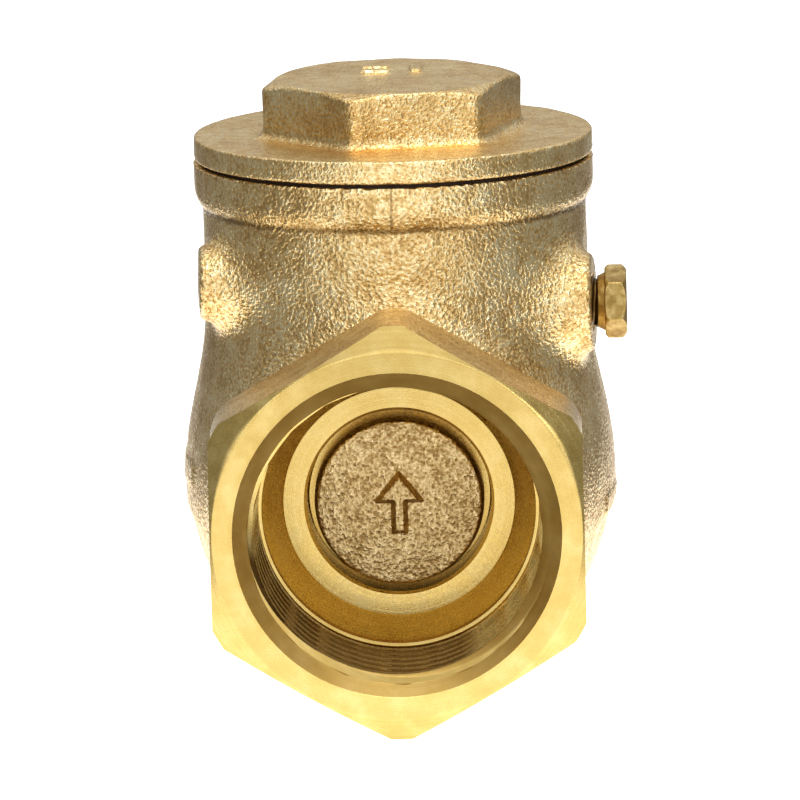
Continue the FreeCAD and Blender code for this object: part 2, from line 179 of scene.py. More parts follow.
def add_mesh(name, points, faces, smooth_angle=None):
    """A mesh object from points in millimetres."""
    mesh = bpy.data.meshes.new(name)
    mesh.from_pydata((np.asarray(points) * MM).tolist(), [], [list(map(int, f)) for f in faces])
    mesh.update()
    piece = bpy.data.objects.new(name, mesh)
    bpy.context.scene.collection.objects.link(piece)
    mesh.polygons.foreach_set("use_smooth", [True] * len(mesh.polygons))
    if smooth_angle:
        mesh.set_sharp_from_angle(angle=math.radians(smooth_angle))
    return piece


def slope_of(field, p, step):
    """Gradient of a field at points."""
    out = np.empty_like(p)
    for axis in range(3):
        ahead, behind = p.copy(), p.copy()
        ahead[:, axis] += step
        behind[:, axis] -= step
        out[:, axis] = (field(*ahead.T) - field(*behind.T)) / (2 * step)
    return out


def field_piece(name, field, low, high, voxel, relief=None, smooth_angle=None):
    """A closed mesh of the surface where field(x, y, z) is zero, moved out along its normal by relief."""
    counts = [int(math.ceil((b - a) / voxel)) + 1 for a, b in zip(low, high)]
    lines = [a + voxel * np.arange(n) for a, n in zip(low, counts)]
    x, y, z = lines[0][:, None, None], lines[1][None, :, None], lines[2][None, None, :]
    far = 4 * voxel
    values = np.broadcast_to(field(x, y, z), counts)
    grid = openvdb.FloatGrid(far)
    grid.copyFromArray(np.ascontiguousarray(np.clip(values, -far, far), dtype=np.float32))
    points, triangles, quads = grid.convertToPolygons(0.0, 0.0)
    p = points.astype(float) * voxel + np.array(low)
    for _ in range(3):
        g = slope_of(field, p, voxel * 0.2)
        size = np.maximum((g * g).sum(axis=1), 0.3)
        move = field(*p.T)[:, None] * g / size[:, None]
        reach = np.linalg.norm(move, axis=1, keepdims=True)
        p -= move * np.minimum(1, 0.4 * voxel / np.maximum(reach, 1e-9))
    g = slope_of(field, p, voxel * 0.2)
    normal = g / np.maximum(np.linalg.norm(g, axis=1, keepdims=True), 1e-6)
    if relief is not None:
        p = p + normal * relief(*p.T)[:, None]
    faces = [list(f) for f in triangles] + [list(f) for f in quads]
    first = np.array(faces[0][:3])
    a, b, c = p[first]
    if np.dot(np.cross(b - a, c - a), normal[first[0]]) < 0:
        faces = [f[::-1] for f in faces]
    return add_mesh(name, p, faces, smooth_angle)


# ---- the casting ----

def end_field(x, y, z):
    """One end hexagon, cast behind its turned face."""
    prism = hex_distance(x, z, END_HALF_AF, 90, 0.35)
    r = np.hypot(x, z)
    prism = smooth_max(prism, r - END_CORNER_R, 0.5)
    prism = smooth_max(prism, y - END_HEX_LENGTH, 1.2)
    cone = ((r - FACE_R) * CHAMFER_SLOPE - (y - 0.03)) / math.hypot(1, CHAMFER_SLOPE)
    return np.maximum(prism, np.maximum(cone, 0.03 - y))


def globe_distance(x, y, z, radius, arc):
    """Barrel about the bore axis whose outline is an arc."""
    r = np.hypot(x, z)
    return np.hypot(r + arc - radius, y - MID_Y) - arc


ARROW = ((-9.0, -1.1), (3.5, -1.1), (3.5, -3.2), (9.0, 0.0), (3.5, 3.2), (3.5, 1.1), (-9.0, 1.1))
ARROW_Z = (1.8, -2.6)
ARROW_RISE = 0.2


def casting_field(x, y, z):
    globe = globe_distance(x, y, z, GLOBE_R, GLOBE_ARC)
    globe = np.maximum(globe, np.abs(y - MID_Y) - (MID_Y - 5))
    arrow_z = np.where(x < 0, ARROW_Z[0], ARROW_Z[1])
    arrow = np.maximum(polygon_distance(y - MID_Y, z - arrow_z, list(ARROW)), 15 - np.abs(x))
    globe = smooth_min(globe, smooth_max(globe - ARROW_RISE, arrow, 0.35), 0.3)
    from_axis = np.hypot(x, y - MID_Y)
    neck = np.maximum(from_axis - NECK_R, np.maximum(-z, z - (RIM_Z - 1)))
    slope = (RIM_R - NECK_R) / (RIM_CONE_Z[1] - RIM_CONE_Z[0])
    cone = (from_axis - RIM_R + (RIM_CONE_Z[1] - z) * slope) / math.hypot(1, slope)
    rim = np.maximum(smooth_max(from_axis - RIM_R, cone, 0.5), np.maximum(z - RIM_Z, 28 - z))
    neck = smooth_min(neck, rim, 0.25)
    outside = smooth_min(globe, neck, 5.0)
    side = np.hypot(y - HINGE_Y, z - HINGE_Z)
    boss = smooth_max(side - BOSS_R, np.maximum(x - BOSS_X, 12 - x), 0.5)
    outside = smooth_min(outside, boss, 4.2)
    pad = smooth_max(np.hypot(y - HINGE_Y, z - PAD_Z) - PAD_R, np.maximum(PAD_X - x, x + 12), 0.6)
    outside = smooth_min(outside, pad, 3.4)
    ends = np.minimum(end_field(x, y, z), end_field(x, LENGTH - y, z))
    outside = smooth_min(outside, ends, 2.6)
    outside = np.maximum(outside, np.maximum(-y + 0.03, y - LENGTH + 0.03))
    return np.maximum(outside, -hollow_field(x, y, z, from_axis, side))


def hollow_field(x, y, z, from_axis, side):
    """All the space inside the casting, with room for the turned sockets."""
    r = np.hypot(x, z)
    chamber = globe_distance(x, y, z, CHAMBER_R, CHAMBER_ARC)
    chamber = smooth_max(chamber, np.maximum(CHAMBER_Y - y, y - SHOULDER_Y), 0.8)
    bore = np.maximum(from_axis - NECK_BORE_R, 8 - z)
    floor = np.minimum(CHAMBER_Y - y, NECK_FLOOR_Z - z)
    bore = smooth_max(bore, floor, 0.8)
    bore = np.maximum(bore, z - RIM_Z - 5)
    seat = np.maximum(from_axis - NECK_THREAD_R, NECK_THREAD_Z - z)
    gasket = np.maximum(from_axis - GASKET_SEAT_R, GASKET_SEAT_Z - z)
    hollow = np.minimum(smooth_min(chamber, bore, 1.2), np.minimum(seat, gasket))
    ear = smooth_max(side - EAR_R, EAR_X - np.abs(x), 0.6)
    hollow = smooth_max(hollow, -ear, 0.8)
    pin = np.maximum(side - PIN_HOLE_R, np.maximum(x - PIN_HOLE_X[1], PIN_HOLE_X[0] - x))
    plug = np.maximum(side - PLUG_HOLE_R, PIN_HOLE_X[1] - x)
    hollow = np.minimum(hollow, np.minimum(pin, plug))
    socket_r = SOCKET_WALL - 0.4
    taper = np.clip(y - 15.8, 0, socket_r - 12.6)
    inlet = np.maximum(r - (socket_r - taper), y - CHAMBER_Y - 1)
    outlet = np.maximum(r - (BAND_R + 0.9), SHOULDER_Y - 1 - y)
    outlet = np.minimum(outlet, np.maximum(r - socket_r, LENGTH - 15.5 - y))
    mouths = np.maximum(r - MOUTH_RELIEF_R, np.minimum(y, LENGTH - y) - MOUTH_RELIEF_DEPTH)
    return np.minimum(np.minimum(hollow, mouths), np.minimum(inlet, outlet))


def casting_relief(x, y, z):
    """Slight unevenness of a sand casting, and the parting line on its neck."""
    waves = 0.045 * lattice_noise(x, y, z, 5.0) + 0.03 * lattice_noise(x, y, z, 2.1, 9.3)
    on_face = np.minimum(y, LENGTH - y) < 0.3
    from_axis = np.hypot(x, y - MID_Y)
    on_neck = (z > RIM_CONE_Z[0] - 0.4) & (z < RIM_Z - 0.1) & (y < MID_Y) & (from_axis > NECK_R - 0.5)
    seam = 0.14 * np.exp(-(x / 0.3) ** 2) * on_neck
    top = z > RIM_Z - 0.15
    return np.where(on_face | top, 0.0, waves - 0.06) + seam


def make_casting():
    low, high = BODY_LOW - 0.9, BODY_HIGH + 0.9
    return field_piece("casting", casting_field, low, high, 0.42, casting_relief, 50)


# ---- turned sockets: face, mouth, thread, seat ----

def outline_r(angle):
    """Radius of the end hexagon's outline, corners turned off, with corners at +Z and -Z."""
    folded = (angle - math.pi / 2 + math.pi / 6) % (math.pi / 3) - math.pi / 6
    side = END_HALF_AF / np.cos(math.pi / 6 - np.abs(folded))
    return np.minimum(side, END_CORNER_R)


def thread_r(y, turn):
    """Radius of the thread's surface at depth y, turn being the angle in whole turns."""
    phase = ((y / PITCH + turn) % 1.0 - 0.5) * PITCH
    groove = np.clip((0.56 - np.abs(phase)) / 0.5, 0, 1) * THREAD_DEPTH
    fade = np.clip((THREAD_END_Y - y) / 1.4, 0, 1)
    return CREST_R - y * TAPER + groove * fade


def mouth_r(y):
    return np.interp(y, [m[1] for m in MOUTH], [m[0] for m in MOUTH], right=0)


def ring_faces(rows, columns):
    """Quads of a grid that closes on itself along its columns."""
    i, j = np.meshgrid(np.arange(rows - 1), np.arange(columns), indexing="ij")
    i, j = i.ravel(), j.ravel()
    k = (j + 1) % columns
    row, next_row = i * columns, (i + 1) * columns
    return np.stack([row + j, row + k, next_row + k, next_row + j], axis=1)


def socket_rows(angle):
    """Rows of (radius, depth) arrays round the socket, from the hidden wall over the face to the band."""
    turn = angle / (2 * math.pi)
    same = np.ones_like(angle)
    edge = outline_r(angle) - 0.01
    edge_y = np.maximum(edge - FACE_R, 0) * CHAMFER_SLOPE
    rows = [(SOCKET_WALL * same, edge_y + 1.2), (edge - 1.2, edge_y + 1.2), (edge - 0.06, edge_y + 0.5),
            (edge - 0.05, edge_y + 0.12), (edge, edge_y)]
    for t in (0.75, 0.5, 0.25, 0.0):
        r = FACE_R + np.maximum(edge - FACE_R, 0) * t
        rows.append((np.minimum(r, edge), np.maximum(r - FACE_R, 0) * CHAMFER_SLOPE))
    for r in np.linspace(FACE_R - 0.12, MOUTH[0][0] + 0.1, 8):
        rows.append((r * same, 0 * same))
    for y in np.arange(0.0, THREAD_END_Y, PITCH / 22):
        depth = y * same
        rows.append((np.maximum(thread_r(depth, turn), mouth_r(depth)), depth))
    rows.append(((CREST_R - BAND_START * TAPER) * same, (BAND_START - 0.05) * same))
    rows.append((BAND_R * same, BAND_START * same))
    rows.append((BAND_R * same, (BAND_START + BAND_END) / 2 * same))
    rows.append((BAND_R * same, BAND_END * same))
    return rows


def make_socket(name, at_outlet):
    columns = 360
    angle = np.arange(columns) * 2 * math.pi / columns
    same = np.ones_like(angle)
    rows = socket_rows(angle)
    if at_outlet:
        tail = [(BAND_R + 1.3, BAND_END), (SOCKET_WALL, BAND_END - 1.0)]
    else:
        cone = [(BAND_R + (SEAT[0][0] - BAND_R) * t, BAND_END + (SEAT[0][1] - BAND_END) * t)
                for t in np.linspace(0.1, 1, 10)]
        tail = cone + list(SEAT[1:]) + [(12.9, 23.9), (13.2, 21.2), (SOCKET_WALL, 16.9)]
    rows += [(r * same, y * same) for r, y in tail]
    r = np.array([row[0] for row in rows])
    y = np.array([row[1] for row in rows])
    side = -1 if at_outlet else 1
    x, z = r * np.cos(angle) * side, r * np.sin(angle)
    along = LENGTH - y if at_outlet else y
    points = np.stack([x, along, z], axis=2).reshape(-1, 3)
    faces = ring_faces(len(rows) + 1, columns) % len(points)
    return add_mesh(name, points, faces[:, ::-1], 32)


# ---- bonnet cap ----
FLANGE_LOW, FLANGE_HIGH = 35.35, 37.9
CAP_HALF_AF, CAP_TURN = 12.7, 12.4
CAP_TOP_Z, CAP_CROWN_R = 43.9, 12.6
CAP_BAR_RISE = 0.4
SPIGOT_R = 18.1
CAP_HOLLOW_R, CAP_HOLLOW_Z = 14.6, (35.6, 40.2)   # straight to the first height, coned to the second
CAP_BARS = ((-1.8, 39.6, 3.2, 1.2), (-1.8, 42.2, 3.2, 1.2), (2.6, 41.4, 1.4, 4.6))   # x, y, wide, long


def cap_field(x, y, z):
    r = np.hypot(x, y - MID_Y)
    flange = smooth_max(r - RIM_R, np.maximum(z - FLANGE_HIGH, FLANGE_LOW - z), 0.45)
    head = hex_distance(x, y - MID_Y, CAP_HALF_AF, CAP_TURN, 0.9)
    crown = CAP_TOP_Z - 0.35 * np.maximum(r - CAP_CROWN_R, 0)
    head = smooth_max(head, z - crown, 0.5)
    head = smooth_max(head, 30 - z, 0.5)
    cap = smooth_min(flange, head, 1.3)
    for bar_x, bar_y, wide, long in CAP_BARS:
        bar = smooth_max(np.abs(x - bar_x) - wide / 2, np.abs(y - bar_y) - long / 2, 0.5)
        bar = smooth_max(bar, z - crown - CAP_BAR_RISE, 0.25)
        cap = smooth_min(cap, np.maximum(bar, 40 - z), 0.3)
    spigot = np.maximum(r - SPIGOT_R, np.maximum(CAP_LOW[2] - z, z - 37))
    cap = np.minimum(cap, spigot)
    above_straight = z - CAP_HOLLOW_Z[0]
    hollow = np.maximum(r - CAP_HOLLOW_R, above_straight)
    hollow = np.minimum(hollow, np.maximum(r + above_straight * 1.65 - CAP_HOLLOW_R, z - CAP_HOLLOW_Z[1]))
    return np.maximum(cap, -np.maximum(hollow, 20 - z))


def cap_relief(x, y, z):
    waves = 0.05 * lattice_noise(x, y, z, 3.7, 3.1) + 0.03 * lattice_noise(x, y, z, 1.6, 5.9)
    return np.where(z < FLANGE_LOW + 0.1, 0.0, waves - 0.06)


# ---- hinge pin plug ----
PLUG_HALF_AF, PLUG_HEX_TURN = 3.5, 81
PLUG_COLLAR_X, PLUG_HEX_X = 21.9, 22.7
PLUG_SHANK_R, PLUG_SHANK_PITCH = 2.62, 0.9


def plug_field(x, y, z):
    side = np.hypot(y - HINGE_Y, z - HINGE_Z)
    head = hex_distance(y - HINGE_Y, z - HINGE_Z, PLUG_HALF_AF, PLUG_HEX_TURN, 0.12)
    chamfer = (side - 3.45 + (x - PLUG_HIGH[0]) * 1.2) * 0.64
    inner = (side - 3.65 - (x - PLUG_HEX_X)) * 0.7
    head = smooth_max(smooth_max(head, chamfer, 0.12), inner, 0.1)
    head = smooth_max(head, np.maximum(PLUG_HEX_X - x, x - PLUG_HIGH[0]), 0.12)
    collar = (side - 2.8 - (x - PLUG_COLLAR_X) * 0.45) * 0.91
    collar = smooth_max(collar, np.maximum(PLUG_COLLAR_X - x, x - 23.4), 0.08)
    turn = np.arctan2(z - HINGE_Z, y - HINGE_Y) / (2 * math.pi)
    wave = 0.16 * np.cos(2 * math.pi * (x / PLUG_SHANK_PITCH + turn))
    shank = np.maximum(side - PLUG_SHANK_R - wave, np.maximum(17.2 - x, x - 22.3))
    return smooth_min(np.minimum(head, collar), shank, 0.08)


def plug_relief(x, y, z):
    nicks = np.clip(lattice_noise(x, y, z, 0.8, 2.2) - 0.45, 0, 1) * -0.12
    return nicks + 0.015 * lattice_noise(x, y, z, 0.5, 7.7) - 0.015


# ---- disc ----
DISC_BOSS_R, DISC_FACE_R = 9.2, 9.0
DISC_FACE_Y = 21.2
DISC_ARROW = ((-0.65, -3.2), (0.65, -3.2), (0.65, 0.2), (2.4, 0.2), (0.0, 3.2), (-2.4, 0.2), (-0.65, 0.2))


def make_disc():
    """Whole disc as a turned shape whose cast face is raised and pitted."""
    columns = 420
    angle = np.arange(columns) * 2 * math.pi / columns
    face = [(r, DISC_FACE_Y) for r in np.linspace(0.02, DISC_FACE_R - 0.35, 84)]
    edge = [(DISC_FACE_R - 0.35 + 0.35 * math.sin(a), DISC_FACE_Y + 0.35 * (1 - math.cos(a)))
            for a in np.linspace(0.25, math.pi / 2, 5)]
    back = [(DISC_BOSS_R, 22.6), (DISC_BOSS_R, 25.6), (9.8, 25.6), (10.1, 25.25), (12.0, 25.25),
            (12.95, 25.25), (13.13, 25.32), (13.2, 25.5), (13.2, 27.5), (12.95, 27.95), (12.5, 28.2),
            (9.5, 28.2), (6.5, 28.2), (5.5, 28.35), (3.3, 28.35), (3.0, 28.5), (3.0, 32.6)]
    stem = []
    for i in range(6):
        y = 32.7 + i
        stem += [(3.0, y), (2.55, y + 0.45), (2.55, y + 0.55), (3.0, y + 0.95)]
    end = [(3.0, 38.75), (2.55, DISC_HIGH[1]), (0.02, DISC_HIGH[1])]
    profile = face + edge + back + stem + end
    r = np.array([p[0] for p in profile])[:, None] * np.ones(columns)
    y = np.array([p[1] for p in profile])[:, None] * np.ones(columns)
    x, z = r * np.cos(angle), r * np.sin(angle)
    cast = np.array([1.0] * (len(face) + 3) + [0.4, 0.2] + [0.0] * (len(profile) - len(face) - 5))[:, None]
    mark = polygon_distance(x, z, list(DISC_ARROW))
    rise = 0.8 * np.clip(0.5 - mark / 0.5, 0, 1) * (r < 5)
    grain = 0.03 * lattice_noise(x, y, z, 0.5) + 0.03 * lattice_noise(x, y, z, 1.0, 4.4)
    y = y - cast * (rise + grain)
    points = np.stack([x, y, z + DISC_Z], axis=2).reshape(-1, 3)
    faces = ring_faces(len(profile), columns)
    caps = [np.arange(columns)[::-1], (len(profile) - 1) * columns + np.arange(columns)]
    return add_mesh("disc", points, [f[::-1] for f in list(faces) + caps], 40)


# ---- hanger arm ----

def arm_field(x, y, z):
    side = np.hypot(y - HINGE_Y, z - HINGE_Z)
    hub = smooth_max(side - 3.7, np.abs(x) - ARM_HIGH[0], 0.4)
    wide = polygon_distance(x, z, [(-8, HINGE_Z), (8, HINGE_Z), (8, HINGE_Z - 5), (5.6, DISC_Z + 2.6),
                                   (-5.6, DISC_Z + 2.6), (-8, HINGE_Z - 5)])
    eye = np.hypot(x, z - DISC_Z) - 6.2
    plate = smooth_min(wide, eye, 2.0)
    window = np.maximum(np.abs(x) - 2.5, np.abs(z - DISC_Z - 10.6) - 3.0)
    plate = smooth_max(plate, -window, 1.2)
    plate = smooth_max(plate, np.abs(y - 30.25) - 1.75, 0.6)
    arm = smooth_min(hub, plate, 1.6)
    holes = np.minimum(side - 2.05, np.hypot(x, z - DISC_Z) - 3.1)
    return np.maximum(arm, -holes)


def arm_relief(x, y, z):
    return 0.04 * lattice_noise(x, y, z, 1.3, 6.1) - 0.05


# ---- materials ----

class Recipe:
    """A node material under construction."""

    def __init__(self, name):
        self.material = bpy.data.materials.new(name)
        self.material.use_nodes = True
        self.tree = self.material.node_tree
        self.shader = self.tree.nodes["Principled BSDF"]
        coordinates = self.tree.nodes.new("ShaderNodeTexCoord")
        scaled = self.add("ShaderNodeVectorMath", operation="SCALE")
        self.tree.links.new(coordinates.outputs["Object"], scaled.inputs[0])
        scaled.inputs["Scale"].default_value = 1 / MM
        self.place = scaled.outputs[0]

    def add(self, kind, **settings):
        node = self.tree.nodes.new(kind)
        for key, value in settings.items():
            setattr(node, key, value)
        return node

    def feed(self, node, **sockets):
        for key, value in sockets.items():
            socket = node.inputs[key.replace("_", " ")]
            if isinstance(value, bpy.types.NodeSocket):
                self.tree.links.new(value, socket)
            else:
                socket.default_value = value
        return node

    def noise(self, size, detail=2.0, roughness=0.5, place=None):
        """Noise from 0 to 1 whose spots are about size millimetres wide."""
        node = self.add("ShaderNodeTexNoise")
        self.feed(node, Vector=place or self.place, Scale=1 / size, Detail=detail, Roughness=roughness)
        return node.outputs["Fac"]

    def cells(self, size):
        """Distance from the middle of soft cells about size millimetres wide."""
        node = self.add("ShaderNodeTexVoronoi", feature="SMOOTH_F1")
        self.feed(node, Vector=self.place, Scale=1 / size, Smoothness=1.0)
        return node.outputs["Distance"]

    def ramp(self, value, stops):
        node = self.add("ShaderNodeValToRGB")
        elements = node.color_ramp.elements
        while len(elements) < len(stops):
            elements.new(0.5)
        for element, (position, colour) in zip(elements, stops):
            element.position = position
            element.color = (*colour, 1) if isinstance(colour, tuple) else (colour, colour, colour, 1)
        self.tree.links.new(value, node.inputs[0])
        return node.outputs["Color"]

    def math(self, operation, *values):
        node = self.add("ShaderNodeMath", operation=operation)
        for socket, value in zip(node.inputs, values):
            if isinstance(value, bpy.types.NodeSocket):
                self.tree.links.new(value, socket)
            else:
                socket.default_value = value
        return node.outputs[0]

    def mix(self, factor, a, b, blend="MIX"):
        node = self.add("ShaderNodeMix", data_type="RGBA", blend_type=blend)
        for index, value in ((0, factor), (6, a), (7, b)):
            if isinstance(value, bpy.types.NodeSocket):
                self.tree.links.new(value, node.inputs[index])
            elif isinstance(value, tuple):
                node.inputs[index].default_value = (*value, 1)
            else:
                node.inputs[index].default_value = value
        return node.outputs[2]

    def bump(self, height, distance_mm, strength=1.0, onto=None):
        node = self.add("ShaderNodeBump")
        self.feed(node, Height=height, Distance=distance_mm * MM, Strength=strength)
        if onto:
            self.tree.links.new(onto, node.inputs["Normal"])
        return node.outputs["Normal"]

    def parts(self):
        """The separate x, y, z of a point, in millimetres."""
        node = self.add("ShaderNodeSeparateXYZ")
        self.tree.links.new(self.place, node.inputs[0])
        return node.outputs

    def end_distance(self, y):
        """How far a point is inside the nearer end face."""
        return self.math("MINIMUM", y, self.math("SUBTRACT", LENGTH, y))

    def finish(self, colour, roughness, normal, metallic=1.0, **others):
        self.feed(self.shader, Base_Color=colour, Roughness=roughness, Normal=normal,
                  Metallic=metallic, **others)
        return self.material


def cast_brass(name, dark, mid, light, grain_mm, depth_mm, with_rim_shade_and_seam=False):
    """Sand-cast, shot-blasted brass: pebbled, dull and browner in its pits; on the neck, painted shade
    along the crease under the rim and a dark line on the front of the parting seam.
    """
    m = Recipe(name)
    pebbles = m.cells(grain_mm)
    fine = m.noise(grain_mm, 1.0, 0.55)
    coarse = m.noise(1.9, 2.0, 0.5)
    patch = m.noise(9.0, 2.0, 0.5)
    height = m.math("ADD", m.math("MULTIPLY", pebbles, -0.7), m.math("MULTIPLY", fine, 1.8))
    tone = m.math("ADD", m.math("MULTIPLY", fine, 0.75), m.math("MULTIPLY", coarse, 0.35))
    tone = m.math("ADD", tone, m.math("MULTIPLY", m.math("SUBTRACT", patch, 0.5), 0.3))
    colour = m.ramp(tone, ((0.40, dark), (0.54, mid), (0.70, light)))
    if with_rim_shade_and_seam:
        x, y, z = m.parts()
        # Painted shade: a dark band along the crease where the rim's cone meets the neck. The seam mask
        # below is the seam's own dark line.
        wander = m.math("MULTIPLY", m.math("SUBTRACT", coarse, 0.5), 0.8)
        crease = m.math("ABSOLUTE", m.math("ADD", m.math("SUBTRACT", z, RIM_CONE_Z[0] + 0.05), wander))
        crease = m.ramp(crease, ((0.12, 0.8), (0.5, 0.0)))
        from_seam = m.math("ABSOLUTE", m.math("ADD", x, m.math("MULTIPLY", wander, 0.3)))
        seam = m.ramp(from_seam, ((0.08, 0.6), (0.2, 0.0)))
        front = m.math("MULTIPLY", m.math("LESS_THAN", y, 18.0), m.math("GREATER_THAN", z, RIM_CONE_Z[0]))
        line = m.math("MAXIMUM", crease, m.math("MULTIPLY", seam, front))
        # Dark brown of the painted crease shade and of the seam's line.
        colour = m.mix(line, colour, (0.20, 0.11, 0.03))
    roughness = m.ramp(fine, ((0.3, 0.40), (0.7, 0.26)))
    normal = m.bump(height, depth_mm)
    normal = m.bump(coarse, 0.20, 0.5, normal)
    return m.finish(colour, roughness, normal)


def turned_brass(name, in_threaded_bore=False):
    """Bright turned brass with fine rings round the bore axis."""
    m = Recipe(name)
    x, y, z = m.parts()
    radius = m.math("SQRT", m.math("ADD", m.math("MULTIPLY", x, x), m.math("MULTIPLY", z, z)))
    across = m.math("ADD", radius, m.math("MULTIPLY", y, 1.7))
    line_place = m.add("ShaderNodeCombineXYZ")
    m.feed(line_place, X=across, Y=0.0, Z=0.0)
    lines = m.noise(0.11, 3.0, 0.6, line_place.outputs[0])
    bands = m.noise(0.9, 2.0, 0.5, line_place.outputs[0])
    blotch = m.noise(3.2, 3.0, 0.6)
    specks = m.noise(0.25, 2.0, 0.7)
    tone = m.math("ADD", m.math("MULTIPLY", lines, 0.35), m.math("MULTIPLY", blotch, 0.5))
    tone = m.math("ADD", tone, m.math("MULTIPLY", bands, 0.2))
    colour = m.ramp(tone, ((0.34, (0.62, 0.42, 0.12)),
                           (0.50, (0.72, 0.51, 0.16)),
                           (0.66, (0.84, 0.64, 0.25))))
    if in_threaded_bore:
        # Painted shade in the threads: grooves darker than crests, partly real oil and partly painted
        # shade of the thread relief. The whole mark is painted heavier towards the lower left, as painted
        # shade standing in for the dark reflection the threads show there.
        crest = m.math("SUBTRACT", CREST_R, m.math("MULTIPLY", m.end_distance(y), TAPER))
        depth = m.math("DIVIDE", m.math("SUBTRACT", radius, crest), THREAD_DEPTH)
        groove_oil_and_shade = m.ramp(depth, ((0.02, 0.0), (0.55, 1.0)))
        in_thread = m.math("MULTIPLY", m.math("LESS_THAN", m.end_distance(y), THREAD_END_Y),
                           m.math("GREATER_THAN", m.end_distance(y), MOUTH[-1][1]))
        downward = m.math("SUBTRACT", m.math("MULTIPLY", x, -0.45), m.math("MULTIPLY", z, 0.9))
        painted_shade_to_lower_left = m.ramp(m.math("DIVIDE", downward, 16.0), ((0.16, 0.04), (0.60, 1.0)))
        factor = m.math("MULTIPLY", m.math("MAXIMUM", groove_oil_and_shade, m.math("MULTIPLY", painted_shade_to_lower_left, 0.95)),
                        m.math("MULTIPLY", in_thread, painted_shade_to_lower_left))
        # Dark brown of the painted thread shade and the groove oil.
        colour = m.mix(factor, colour, (0.085, 0.034, 0.004))
    roughness = m.ramp(m.math("ADD", m.math("MULTIPLY", specks, 0.5), m.math("MULTIPLY", blotch, 0.5)),
                       ((0.3, 0.20), (0.7, 0.34)))
    if in_threaded_bore:
        inside = m.end_distance(y)
        mouth = m.math("MULTIPLY", m.math("GREATER_THAN", inside, 0.05),
                       m.math("LESS_THAN", inside, MOUTH[-1][1]))
        mouth = m.math("MULTIPLY", mouth, m.math("LESS_THAN", radius, MOUTH[0][0] + 0.1))
        roughness = m.math("ADD", roughness, m.math("MULTIPLY", mouth, 0.26))
    normal = m.bump(lines, 0.012, 0.8)
    normal = m.bump(specks, 0.006, 0.5, normal)
    round_axis = m.add("ShaderNodeTangent", direction_type="RADIAL", axis="Y")
    return m.finish(colour, roughness, normal, Anisotropic=0.75, Tangent=round_axis.outputs[0])


def small_brass(name, painted_shade_below_x=None):
    """Machined brass of the plug, nut and washer: smooth, a little dull and dinged."""
    m = Recipe(name)
    blotch = m.noise(1.4, 3.0, 0.6)
    fine = m.noise(0.16, 2.0, 0.6)
    colour = m.ramp(blotch, ((0.32, (0.30, 0.18, 0.05)),
                             (0.50, (0.48, 0.33, 0.11)),
                             (0.70, (0.70, 0.53, 0.24))))
    if painted_shade_below_x:
        # Painted shade on the shank and in the undercut beside the collar, everywhere below this x.
        ragged_x = m.math("ADD", m.parts()[0], m.math("MULTIPLY", fine, 0.3))
        in_painted_shade = m.math("LESS_THAN", ragged_x, painted_shade_below_x)
        colour = m.mix(m.math("MULTIPLY", in_painted_shade, 0.85), colour, (0.07, 0.035, 0.01))
    roughness = m.ramp(fine, ((0.3, 0.26), (0.7, 0.42)))
    normal = m.bump(fine, 0.012, 0.7)
    return m.finish(colour, roughness, normal)


def steel(name):
    m = Recipe(name)
    fine = m.noise(0.12, 2.0, 0.6)
    blotch = m.noise(1.5, 2.0, 0.5)
    colour = m.ramp(blotch, ((0.3, (0.52, 0.52, 0.51)), (0.7, (0.68, 0.68, 0.67))))
    return m.finish(colour, m.ramp(fine, ((0.3, 0.22), (0.7, 0.36))), m.bump(fine, 0.006, 0.6))


def rubber(name):
    m = Recipe(name)
    fine = m.noise(0.3, 2.0, 0.6)
    colour = m.ramp(m.noise(2.0), ((0.3, (0.035, 0.018, 0.008)), (0.7, (0.06, 0.032, 0.015))))
    return m.finish(colour, m.ramp(fine, ((0.3, 0.55), (0.7, 0.7))), m.bump(fine, 0.02, 0.5), metallic=0.0)


CAST_TONES = ((0.54, 0.34, 0.12), (0.84, 0.58, 0.24), (1.0, 0.84, 0.48))   # pits, middle, tops
CAP_TONES = ((0.60, 0.38, 0.14), (0.86, 0.60, 0.25), (1.0, 0.84, 0.48))
# The disc's tones are a darker copy of the cast brass: painted shade of the bore the disc sits in.
DISC_SHADED_TONES = ((0.30, 0.18, 0.06), (0.49, 0.34, 0.145), (0.68, 0.51, 0.26))
CAST = cast_brass("cast_brass_skin", *CAST_TONES, 0.37, 0.095, True)
CAST_CAP = cast_brass("cast_brass_cap", *CAP_TONES, 0.33, 0.075)
CAST_ARM = cast_brass("cast_brass_arm", *CAST_TONES, 0.42, 0.12)
CAST_DISC_SHADED = cast_brass("cast_brass_disc_painted_shade", *DISC_SHADED_TONES, 0.34, 0.08)
TURNED = turned_brass("turned_brass_bore", True)
TURNED_DISC = turned_brass("turned_brass_disc")
SMALL = small_brass("small_machined_brass")
PLUG = small_brass("small_plug_brass", PLUG_COLLAR_X + 0.2)
STEEL = steel("ground_steel")
RUBBER = rubber("gasket_rubber_ring")


def wear(piece, *materials):
    piece.data.materials.clear()
    for material in materials:
        piece.data.materials.append(material)


# ---- pieces ----

def place(piece, body, replaced, slot, *materials):
    wear(piece, *materials)
    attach(piece, body)
    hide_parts(replaced)
    return piece


